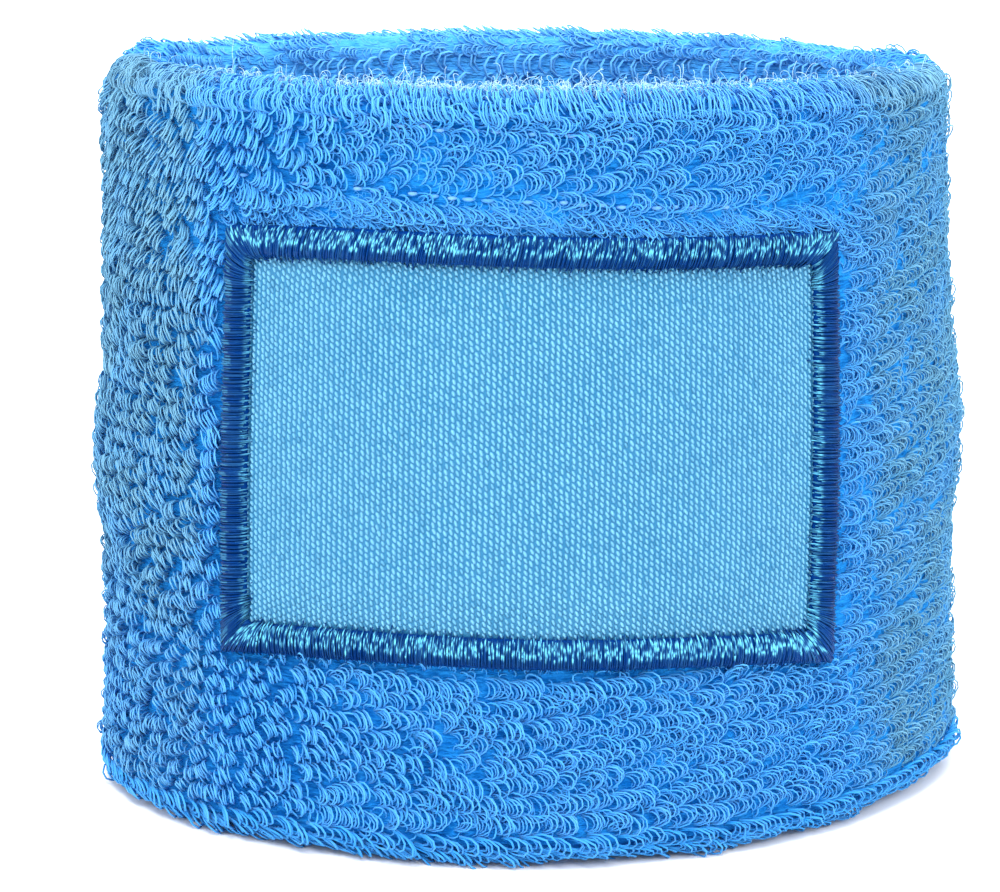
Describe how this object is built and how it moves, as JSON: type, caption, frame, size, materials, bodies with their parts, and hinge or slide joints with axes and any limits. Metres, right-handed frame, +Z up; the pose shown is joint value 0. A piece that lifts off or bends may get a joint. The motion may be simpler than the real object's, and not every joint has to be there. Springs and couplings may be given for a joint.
{
  "type": "sweat wristband",
  "caption": "Terry-knit sweat wristband: a stretchy tube folded double, with a blank satin label held by a satin-stitched border.",
  "frame": {"origin": "middle of the whole band's box, at the foot it stands on", "axes": "+X to the right along the band's width when the label faces the viewer, +Y from the label to the back of the band, +Z up through the wrist opening"},
  "size_m": [0.0724, 0.046, 0.06],
  "materials": {
    "pile_yarn": "soft cotton loops",
    "ground_yarn": "plain knit, matt",
    "covered_elastic": "nylon-covered elastane, matt",
    "seam_thread": "spun polyester, matt",
    "label_satin": "woven satin, soft sheen",
    "embroidery_thread": "bright filament, glossy",
    "stabiliser": "non-woven, matt",
    "bobbin_thread": "spun polyester, matt"
  },
  "bodies": {
    "root": {"terry_pile": "pile_yarn", "ground_knit": "ground_yarn", "elastic_yarn": "covered_elastic", "closing_seam_thread": "seam_thread", "label_panel": "label_satin", "label_border_stitch": "embroidery_thread", "label_tack_stitch": "embroidery_thread", "label_backing": "stabiliser", "label_bobbin_thread": "bobbin_thread"}
  },
  "joints": []
}
